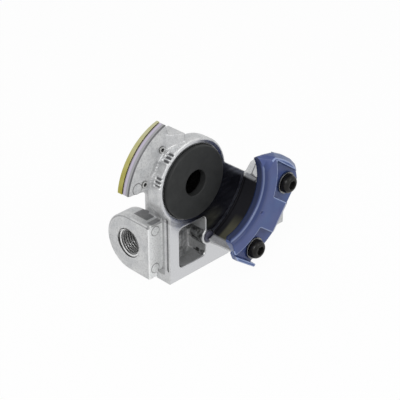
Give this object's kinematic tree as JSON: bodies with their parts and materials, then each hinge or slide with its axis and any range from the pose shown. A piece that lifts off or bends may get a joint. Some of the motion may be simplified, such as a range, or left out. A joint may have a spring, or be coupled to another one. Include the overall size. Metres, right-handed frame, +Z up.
{
  "type": "hose coupler",
  "caption": "Palm coupling head for a truck air brake hose: cast aluminium, black sealing ring, yellow zinc wear plate and a blue guide claw.",
  "frame": {"origin": "on the base, below the crossing of the seal axis and the port axis", "axes": "+Z up, +Y along the seal axis away from the mating head, so the seal looks towards -Y and the hose port opens towards -X"},
  "size_m": [0.0947, 0.067, 0.088],
  "materials": {
    "cast_aluminium": "bare casting with milled faces",
    "blue_paint": "satin powder coat",
    "black_steel": "black oxide",
    "bright_steel": "zinc plated",
    "yellow_zinc": "yellow passivated zinc",
    "black_rubber": "matt",
    "brass": "turned",
    "dark_steel": "phosphated"
  },
  "bodies": {
    "head": {"coupler_body": "cast_aluminium", "guide_claw": "blue_paint", "guide_screw_upper": "black_steel", "guide_screw_lower": "black_steel", "guide_washer_upper": "bright_steel", "guide_washer_lower": "bright_steel", "wear_plate": "yellow_zinc", "wear_plate_rivet_upper": "bright_steel", "wear_plate_rivet_lower": "bright_steel", "stop_pin": "bright_steel", "carrier_spring": "bright_steel", "spring_seat": "bright_steel", "valve_post": "brass", "valve_seal": "black_rubber", "valve_cap": "dark_steel", "valve_lock_washer": "dark_steel", "valve_screw": "dark_steel"},
    "seal_group": {"sealing_ring": "black_rubber", "seal_carrier": "dark_steel", "carrier_o_ring": "black_rubber"}
  },
  "joints": [
    {"name": "seal_push", "type": "slide", "parent": "head", "child": "seal_group", "axis": [0, 1, 0], "range_m": [0, 0.002], "stiffness_N_per_m": 6000, "springref_m": -0.0015, "deforming": ["carrier_spring"]}
  ]
}
